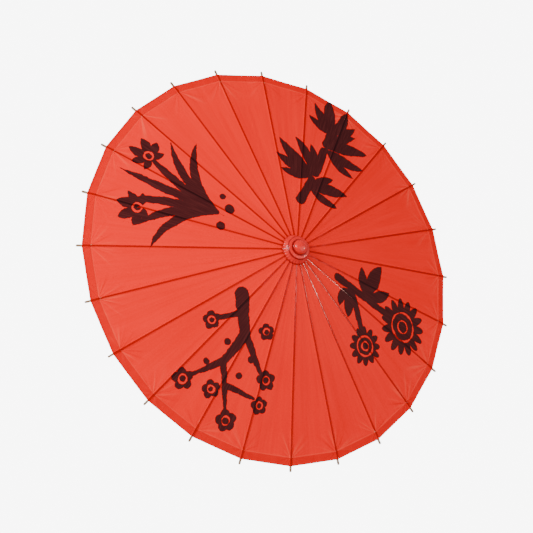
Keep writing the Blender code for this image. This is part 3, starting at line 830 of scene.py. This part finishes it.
def paper_height(gore, beside, from_first, half, along):
    """Height of the paper's upper face at a point.

    beside is its distance from the nearer rib, from_first from the gore's first rib and along from the
    shaft. half is the distance from a rib to the gore's middle there.
    """
    sizes = gore.sizes
    drop = (along - CROWN_PIVOT.x) * math.tan(SLOPE)
    lift = (sizes.rib_top + sizes.paper_thickness) / math.cos(SLOPE)
    height = CROWN_PIVOT.z - drop + lift + gore.height(beside, half, along)
    height += gore.wrinkles(from_first, along) + gore.puckers(from_first, along)
    height += sizes.hem_step * smooth((along - RIM_RADIUS + sizes.hem_width) / 0.0008 + 0.5)
    from_edge = RIM_RADIUS - along
    roll = math.sin(math.pi * min(1.0, from_edge / RIM_ROLL)) - smooth(1 - from_edge / 0.0006)
    return height + RIM_BEAD * roll


def paper_mesh(number, side, columns, sizes):
    """A thin closed sheet of paper that follows a rib. side turns its columns to the rib's left or right."""
    left = Gore(number, sizes)
    right = Gore((number - 1) % RIB_COUNT, sizes)
    rows = paper_rows(sizes)
    last_row = len(rows) - 1
    last_column = len(columns(1.0, sizes)) - 1
    bm = bmesh.new()
    bmesh.ops.create_grid(bm, x_segments=last_row, y_segments=last_column, size=1.0)
    for vert in bm.verts:
        along = rows[round((vert.co.x + 1) / 2 * last_row)]
        half = along * math.sin(SECTOR / 2)
        across = side * columns(half, sizes)[round((vert.co.y + 1) / 2 * last_column)]
        beside = abs(across)
        gore = left if across > 0 else right
        from_first = beside if across > 0 else 2 * half - beside
        height = paper_height(gore, beside, from_first, half, along)
        vert.co = (along - beside * math.sin(SECTOR / 2), across * math.cos(SECTOR / 2), height)
    thicken(bm, sizes.paper_thickness)
    map_paper(bm, number)
    polish = bm.verts.layers.float.new("polish")
    for vert in bm.verts:
        vert[polish] = RIB_POLISH[number]
    bm.transform(turn_about_shaft(number))
    return bm


def thicken(bm, thickness):
    """Gives an open sheet a second layer below and a wall round its edge."""
    made = bmesh.ops.extrude_face_region(bm, geom=bm.faces[:])
    below = [part for part in made["geom"] if isinstance(part, bmesh.types.BMVert)]
    bmesh.ops.translate(bm, verts=below, vec=(0, 0, -thickness))
    bmesh.ops.recalc_face_normals(bm, faces=bm.faces)


def map_paper(bm, number):
    """Writes the paper's two maps, in metres: its plan, and its distance from the rib and the shaft."""
    plan = bm.loops.layers.uv.new("plan")
    gore = bm.loops.layers.uv.new("gore")
    turned = turn_about_shaft(number)
    for face in bm.faces:
        for loop in face.loops:
            point = loop.vert.co
            beside = abs(point.y) / math.cos(SECTOR / 2)
            along = point.x + beside * math.sin(SECTOR / 2)
            world = turned @ point
            loop[plan].uv = (0.5 + world.x, 0.5 + world.y)
            loop[gore].uv = (0.5 + math.copysign(beside, point.y), along)


def painting_at(azimuth):
    """The painting whose quarter of the canopy holds this azimuth."""
    def off(entry):
        return abs((azimuth - entry[2] + 180) % 360 - 180)
    return min(PAINTINGS, key=off)


class UMBRELLA_OT_canopy(bpy.types.Operator):
    """Lays the oiled paper on every rib, with its hem, wrinkles and ink paintings"""

    bl_idname = "umbrella.canopy"
    bl_label = "Canopy paper"

    def execute(self, context):
        sizes = context.scene.umbrella_sizes
        colours = context.scene.umbrella_colours
        looks = {entry[0]: paper_material(colours, sizes, *entry) for entry in PAINTINGS}
        for number, body in enumerate(RIB_NAMES):
            azimuth = number * 360 / RIB_COUNT
            look = looks[painting_at(azimuth)[0]]
            strip = self.lay(body, "rib", paper_mesh(number, 1, strip_columns, sizes), look)
            for side, word in ((1, "left"), (-1, "right")):
                look = looks[painting_at(azimuth + side * 90 / RIB_COUNT)[0]]
                piece = self.lay(body, word, paper_mesh(number, side, side_columns, sizes), look)
                self.fold(piece, number, side, sizes)
        return {"FINISHED"}

    def lay(self, body, word, bm, look):
        name = body.replace("rib", "paper") + "_" + word
        return finish_piece(name, bm, look, body, ("canopy", "rim_hem"), 60)

    def fold(self, piece, number, side, sizes):
        """Gives a half gore its own copy of its mesh."""
        turned = rib_matrix(number)
        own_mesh(piece)


# Ribs, stretchers and threads


class UMBRELLA_OT_ribs(bpy.types.Operator):
    """Gives the ribs and the stretchers worn edges and bamboo grain"""

    bl_idname = "umbrella.ribs"
    bl_label = "Ribs and stretchers"

    def execute(self, context):
        sizes = context.scene.umbrella_sizes
        colours = context.scene.umbrella_colours
        tip = (RIM_RADIUS - CROWN_PIVOT.x) / math.cos(SLOPE) - 0.002
        split = grain_material("split_bamboo", colours.bamboo_light, colours.bamboo_dark, 0.42, 0.118, tip)
        pale = [c * 1.2 for c in colours.bamboo_light]
        shaved = grain_material("shaved_bamboo", pale, colours.bamboo_light, 0.48)
        for number, body in enumerate(RIB_NAMES):
            rib = softened(body, sizes.edge_bevel)
            map_grain(rib, rib_matrix(number).inverted())
            finish_piece(f"{body}_bamboo", rib, split, body, (body,))
            node = body.replace("rib", "stretcher")
            stretcher = softened(node, sizes.edge_bevel)
            map_grain(stretcher, stretcher_matrix(number).inverted())
            finish_piece(f"{node}_bamboo", stretcher, shaved, node, (node,))
        return {"FINISHED"}


def winding_mesh(half_width, bottom, top, radius, turns):
    """Turns of thread round a rib, closed, with its own length along x and its middle at x 0."""
    profile = []
    points = 6
    for turn in range(turns):
        middle = (turn - (turns - 1) / 2) * 2 * radius
        for n in range(points):
            angle = math.pi * (n + 0.5) / points
            profile.append((1.0 + math.sin(angle), middle - radius * math.cos(angle)))
    profile += [(0.4, profile[-1][1]), (0.4, profile[0][1])]
    bm = lathe(profile, 24)
    middle = (top + bottom) / 2
    half_height = (top - bottom) / 2
    for vert in bm.verts:
        out = math.hypot(vert.co.x, vert.co.y)
        angle = math.atan2(vert.co.y, vert.co.x)
        square = (abs(math.cos(angle)) ** 5 + abs(math.sin(angle)) ** 5) ** (-0.2)
        grow = (out - 1) * radius
        y = math.cos(angle) * square * (half_width + grow)
        z = math.sin(angle) * square * (half_height + grow)
        vert.co = (vert.co.z, y, min(middle + z, top - 0.00005))
    bmesh.ops.recalc_face_normals(bm, faces=bm.faces)
    return bm


def joined(parts):
    """One bmesh of several placed (bmesh, matrix) parts."""
    whole = bmesh.new()
    for bm, placed in parts:
        bm.transform(placed)
        mesh = bpy.data.meshes.new("part")
        bm.to_mesh(mesh)
        bm.free()
        whole.from_mesh(mesh)
        bpy.data.meshes.remove(mesh)
    return whole


def knot_mesh(radius, height):
    """A flattened thread knot on the side of a rib, along y."""
    bm = bmesh.new()
    bmesh.ops.create_uvsphere(bm, u_segments=12, v_segments=8, radius=radius)
    bmesh.ops.scale(bm, vec=(1, height / radius, 1), verts=bm.verts)
    return bm


class UMBRELLA_OT_threads(bpy.types.Operator):
    """Winds waxed thread round the ribs' slots, the crown and the runner"""

    bl_idname = "umbrella.threads"
    bl_label = "Threads"

    def execute(self, context):
        sizes = context.scene.umbrella_sizes
        look = thread_material(context.scene.umbrella_colours)
        radius = sizes.thread_radius * 0.7
        half = sizes.rib_half_width
        for number, body in enumerate(RIB_NAMES):
            turned = rib_matrix(number)
            parts = []
            for past in (-0.0095, 0.0295):
                winding = winding_mesh(half, -0.0010, sizes.rib_top, radius, 5)
                parts.append((winding, turned @ Matrix.Translation((STRETCHER_LENGTH + past, 0, 0))))
            for side in (-1, 1):
                knot = knot_mesh(0.0008, 0.0004)
                parts.append((knot, turned @ Matrix.Translation((STRETCHER_LENGTH, side * half, 0.0002))))
            finish_piece(f"lacing_{number + 1:02d}", joined(parts), look, body)
        self.wind_runner(look, sizes)
        frame["nodes"]["crown_thread"].data.materials.clear()
        frame["nodes"]["crown_thread"].data.materials.append(look)
        return {"FINISHED"}

    def wind_runner(self, look, sizes):
        """The ring of thread that the stretchers' inner ends turn on."""
        turns = [2 * math.pi * n / 10 for n in range(10)]
        radius = sizes.thread_radius
        ring = [(CROWN_PIVOT.x + radius * math.cos(a), RUNNER_PIVOT_Z + radius * math.sin(a)) for a in turns]
        finish_piece("runner_thread", lathe(ring, 96), look, "runner")


# Crown


def pleat(bm, count, depth, foot, top):
    """Gathers a collar into pleats, deepest at its foot and gone at its top."""
    draw = random.Random(7)
    wobble = [draw.uniform(-0.7, 0.7) for _ in range(count)]
    for vert in bm.verts:
        out = math.hypot(vert.co.x, vert.co.y)
        turn = math.atan2(vert.co.y, vert.co.x) / (2 * math.pi) * count
        drift = wobble[math.floor(turn) % count] * math.sin(math.pi * (turn % 1)) * 0.4
        wave = math.cos(2 * math.pi * (turn + drift))
        share = smooth((top - vert.co.z) / (top - foot)) * smooth(out / 0.020 - 0.5)
        vert.co.x *= 1 + depth * share * wave / out
        vert.co.y *= 1 + depth * share * wave / out
        vert.co.z += 0.4 * depth * share * wave


class UMBRELLA_OT_crown(bpy.types.Operator):
    """Makes the gathered paper cap and the lacquered knob on top"""

    bl_idname = "umbrella.crown"
    bl_label = "Crown"

    def execute(self, context):
        sizes = context.scene.umbrella_sizes
        colours = context.scene.umbrella_colours
        step = sizes.step_radius
        knob = sizes.knob_radius
        # Painted shade: dark rings in the groove under the knob, at the foot of the step and round the cap's
        # edge.
        rings = [
            (knob + 0.0006, 0.0022, 0.8),
            (step + 0.0016, 0.0012, 0.8),
            (sizes.crown_radius, 0.0014, 0.5),
        ]
        collar = lacquer_material("gathered_paper", colours, 0.32, 0.12, rings)
        # Painted shade: a dark ring round the knob's rolled lower edge.
        gloss = lacquer_material("red_lacquer", colours, 0.20, 0.16, [(knob, 0.0010, 0.8)])
        low, high = (corner.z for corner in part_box("crown_cap"))
        cap = lathe(self.cap_outline(sizes, low, high), 240)
        pleat(cap, 30, 0.00070, low, low + CAP_SHOULDER * (high - low))
        finish_piece("crown_cap_paper", cap, collar, "frame", ("crown_cap",))
        dome = lathe(self.knob_outline(sizes, high + CLEARANCE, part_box("finial_knob")[1].z), 96)
        finish_piece("finial_knob_lacquer", dome, gloss, "frame", ("finial_knob",))
        return {"FINISHED"}

    def cap_outline(self, sizes, low, high):
        """Gathered wall, step and top of the cap, then back along its underside."""
        edge = sizes.crown_radius
        step = sizes.step_radius
        bore = 0.0060
        foot = low + 0.0012
        shoulder = low + CAP_SHOULDER * (high - low)
        wall = [
            (edge - 0.0012, low + 0.0006),
            (edge + 0.0002, low + 0.0010),
            (edge, foot + 0.0012),
            (edge - 0.0012, foot + 0.0030),
            (edge - 0.0032, foot + 0.0055),
            (edge - 0.0050, foot + 0.0080),
        ]
        rise = [
            (step + 0.0020, shoulder - 0.0006),
            (step + 0.0014, shoulder),
            (step + 0.0020, shoulder + 0.0008),
            (step + 0.0016, shoulder + 0.0022),
            (step - 0.0004, high - 0.0010),
        ]
        top = [(step - 0.0040, high - 0.0003), (bore, high), (bore, high - 0.0012)]
        underside = [(step - 0.0040, high - 0.0016), (step - 0.0010, high - 0.0030)]
        underside += [(edge - 0.0068, foot + 0.0062), (edge - 0.0034, foot + 0.0012)]
        return rounded(wall + rise + top + underside, 1)

    def knob_outline(self, sizes, seat, top):
        """A round dome on a narrow foot, with a rolled lower edge."""
        radius = sizes.knob_radius
        stem = 0.0048
        outline = [(0.0, seat - 0.0014), (stem, seat - 0.0014), (stem, seat), (radius - 0.0022, seat)]
        outline += [(radius - 0.0010, seat + 0.0004), (radius, seat + 0.0014), (radius, seat + 0.0024)]
        outline += [(radius - 0.0006, seat + 0.0030)]
        shoulder = seat + 0.0031
        for n in range(1, 15):
            angle = math.radians(90 * n / 14)
            height = shoulder + (top - shoulder) * math.sin(angle)
            outline.append(((radius - 0.0008) * max(0.0, math.cos(angle)), height))
        return outline


# Shaft, runner and handle


class UMBRELLA_OT_shaft(bpy.types.Operator):
    """Finishes the bamboo shaft, its joints, the hub, the runner, the catch and the peg"""

    bl_idname = "umbrella.shaft"
    bl_label = "Shaft and runner"

    def execute(self, context):
        sizes = context.scene.umbrella_sizes
        colours = context.scene.umbrella_colours
        cane = shaft_material(colours)
        wood = turned_wood_material("turned_wood", colours, 0.32)
        peg = grain_material("peg_bamboo", colours.bamboo_light, colours.bamboo_dark, 0.45)
        shaft = softened("shaft", sizes.edge_bevel / 2)
        finish_piece("shaft_cane", shaft, cane, "frame", ("shaft",))
        for node, body in (("crown_hub", "frame"), ("runner", "runner")):
            turned = softened(node, sizes.edge_bevel * 0.6)
            finish_piece(f"{node}_wood", turned, wood, body, (node,))
        small_parts = (("catch_spring", "catch", "dark_wood"), ("stop_peg", "frame", "pale_bamboo"))
        for node, body, slot in small_parts:
            bm = softened(node, sizes.edge_bevel)
            map_grain(bm, Matrix.Rotation(math.pi / 2, 4, "Y"))
            finish_piece(f"{node}_bamboo", bm, peg, body, (node,))
        self.add_cane_joints(cane)
        return {"FINISHED"}

    def add_cane_joints(self, look):
        """Low rings where the cane's joints were trimmed, shallow enough for the runner to pass."""
        buried = SHAFT_RADIUS - 0.0002
        proud = 0.00022
        half = 0.0016
        parts = []
        for n in range(2):
            z = SHAFT_NODE_FIRST + n * SHAFT_NODE_SPACING
            outline = [
                (buried, z - half),
                (SHAFT_RADIUS + proud * 0.7, z - half * 0.5),
                (SHAFT_RADIUS + proud * 0.3, z),
                (SHAFT_RADIUS + proud, z + half * 0.4),
                (buried, z + half),
            ]
            parts.append((lathe(rounded(outline, 1), 64), Matrix()))
        finish_piece("shaft_joints", joined(parts), look, "frame")


class UMBRELLA_OT_handle(bpy.types.Operator):
    """Turns the wooden grip with its grooves, and the wooden end cap"""

    bl_idname = "umbrella.handle"
    bl_label = "Grip and end cap"

    def execute(self, context):
        colours = context.scene.umbrella_colours
        wood = turned_wood_material("grip_wood", colours, 0.26)
        cap_look = turned_wood_material("end_cap_wood", colours, 0.36)
        low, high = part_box("handle_grip")
        grip = lathe(self.grip_outline(low.z, high.z, high.x), 96)
        finish_piece("handle_grip_wood", grip, wood, "frame", ("handle_grip",))
        low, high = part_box("end_cap")
        cap = lathe(self.cap_outline(low.z, high.z, high.x), 96)
        finish_piece("end_cap_wood", cap, cap_look, "frame", ("end_cap",))
        return {"FINISHED"}

    def grip_outline(self, bottom, top, radius):
        """A grooved collar at each end and a slim barrel between them, then the bore."""
        length = top - bottom
        neck = 0.0115
        waist = radius - 0.0013
        foot = [(radius - 0.0012, 0.0), (radius - 0.0003, 0.0004), (radius, 0.0015), (radius, 0.0032)]
        foot += [(radius - 0.0006, 0.0036), (radius - 0.0006, 0.0044), (radius, 0.0048), (radius, 0.0068)]
        foot += [(radius - 0.0004, 0.0082), (radius - 0.0011, 0.0098), (waist, neck)]
        barrel = []
        for n in range(1, 12):
            share = n / 12
            barrel.append((waist + 0.0009 * math.sin(math.pi * share), neck + (length - 2 * neck) * share))
        head = [(point * 0.97, length - height) for point, height in reversed(foot)]
        bore = SHAFT_RADIUS + CLEARANCE
        outline = foot + barrel + head + [(bore, length), (bore, 0.0)]
        return [(point, bottom + height) for point, height in outline]

    def cap_outline(self, bottom, top, radius):
        """A shallow cup round the foot of the shaft, with a bead at its rim."""
        bore = SHAFT_RADIUS + CLEARANCE
        floor = bottom + 0.0040
        foot = [(0.0, bottom), (radius - 0.0022, bottom), (radius - 0.0010, bottom + 0.0004)]
        wall = [(radius - 0.0002, bottom + 0.0014), (radius - 0.0002, top - 0.0034)]
        groove = [(radius - 0.0008, top - 0.0030), (radius - 0.0008, top - 0.0024)]
        bead = [(radius, top - 0.0020), (radius, top - 0.0006), (radius - 0.0006, top)]
        return foot + wall + groove + bead + [(bore, top), (bore, floor), (0.0, floor)]


# Stage


def camera_matrix(location, target, roll):
    forward = (target - location).normalized()
    level = forward.cross(Vector((0, 0, 1))).normalized()
    upright = level.cross(forward)
    up = upright * math.cos(roll) + level * math.sin(roll)
    right = forward.cross(up)
    turned = Matrix((right, up, -forward)).transposed().to_4x4()
    return Matrix.Translation(location) @ turned


class UMBRELLA_OT_stage(bpy.types.Operator):
    """Sets up the pale floor, the soft studio lights and the camera above the canopy"""

    bl_idname = "umbrella.stage"
    bl_label = "Studio"

    def execute(self, context):
        self.lay_floor(context)
        self.light_world(context)
        camera = self.add_camera(context)
        self.add_lights(context, camera)
        return {"FINISHED"}

    def lay_floor(self, context):
        bm = bmesh.new()
        bmesh.ops.create_grid(bm, x_segments=1, y_segments=1, size=12)
        mesh = bpy.data.meshes.new("floor")
        bm.to_mesh(mesh)
        bm.free()
        mesh.transform(Matrix.Translation((0, 0, CAD_BOX[0].z - 0.0005)))
        mesh.materials.append(pale_floor_material(context.scene.umbrella_colours))
        floor = bpy.data.objects.new("floor", mesh)
        context.scene.collection.objects.link(floor)

    def light_world(self, context):
        world = bpy.data.worlds.new("studio")
        world.use_nodes = True
        surface = world.node_tree.nodes["World Output"].inputs["Surface"]
        fill_backdrop(world.node_tree, surface, context.scene.umbrella_colours.floor)
        context.scene.world = world

    def add_camera(self, context):
        data = bpy.data.cameras.new("camera")
        data.lens = 86.4
        data.sensor_width = 36.0
        camera = bpy.data.objects.new("camera", data)
        context.scene.collection.objects.link(camera)
        rim_height = CROWN_PIVOT.z - (RIM_RADIUS - CROWN_PIVOT.x) * math.tan(SLOPE) + 0.0037
        target = Vector((-0.0250, -0.0050, rim_height))
        azimuth = math.radians(-163.15)
        elevation = math.radians(57.22)
        distance = 2.553
        roll = math.radians(-58.36)
        outward = Vector((math.cos(azimuth), math.sin(azimuth), 0))
        back = math.cos(elevation) * outward + math.sin(elevation) * Vector((0, 0, 1))
        camera.matrix_world = camera_matrix(target + distance * back, target, roll)
        context.scene.camera = camera
        return camera

    def add_lights(self, context, camera):
        """A large key light from the left, and a strip that the lower ridges mirror to the camera."""
        axes = camera.matrix_world.to_3x3()
        right, up, back = axes.col
        middle = Vector((0, 0, CROWN_PIVOT.z))
        self.area(context, "key", middle, -1.5 * right + 1.1 * up + 1.7 * back, 0.9, 104)
        self.area(context, "fill", middle, 1.7 * right - 0.2 * up + 1.6 * back, 1.8, 34)
        first, last = (rib_matrix(n).to_3x3() @ Vector((1, 0, 0)) for n in RIDGES_LIT)
        normal = first.cross(last).normalized()
        mirrored = 2 * back.dot(normal) * normal - back
        strip = self.area(context, "ridge_light", middle, 2.2 * mirrored, 0.35, 60)
        strip.visible_diffuse = False
        strip.data.color = (1.0, 0.48, 0.40)

    def area(self, context, name, target, offset, size, power):
        data = bpy.data.lights.new(name, "AREA")
        data.size = size
        data.energy = power
        light = bpy.data.objects.new(name, data)
        light.matrix_world = camera_matrix(target + offset, target, 0)
        context.scene.collection.objects.link(light)
        return light


# Panel and registration


OPERATORS = [
    UMBRELLA_OT_stage,
    UMBRELLA_OT_canopy,
    UMBRELLA_OT_ribs,
    UMBRELLA_OT_threads,
    UMBRELLA_OT_crown,
    UMBRELLA_OT_shaft,
    UMBRELLA_OT_handle,
]


class UMBRELLA_PT_panel(bpy.types.Panel):
    """Lists the umbrella's pieces and settings"""

    bl_idname = "UMBRELLA_PT_panel"
    bl_label = "Oil paper umbrella"
    bl_space_type = "VIEW_3D"
    bl_region_type = "UI"
    bl_category = "Umbrella"

    def draw(self, context):
        for operator in OPERATORS:
            self.layout.operator(operator.bl_idname)
        for group in (context.scene.umbrella_sizes, context.scene.umbrella_colours):
            for name in group.bl_rna.properties.keys():
                if name not in ("rna_type", "name"):
                    self.layout.prop(group, name)


CLASSES = [UmbrellaSizes, UmbrellaColours, *OPERATORS, UMBRELLA_PT_panel]


def register():
    for added in CLASSES:
        bpy.utils.register_class(added)
    bpy.types.Scene.umbrella_sizes = PointerProperty(type=UmbrellaSizes)
    bpy.types.Scene.umbrella_colours = PointerProperty(type=UmbrellaColours)


def unregister():
    del bpy.types.Scene.umbrella_colours
    del bpy.types.Scene.umbrella_sizes
    for added in reversed(CLASSES):
        bpy.utils.unregister_class(added)


def main():
    register()
    bpy.ops.umbrella.stage()
    bpy.ops.umbrella.canopy()
    bpy.ops.umbrella.ribs()
    bpy.ops.umbrella.threads()
    bpy.ops.umbrella.crown()
    bpy.ops.umbrella.shaft()
    bpy.ops.umbrella.handle()


if __name__ == "__main__":
    main()
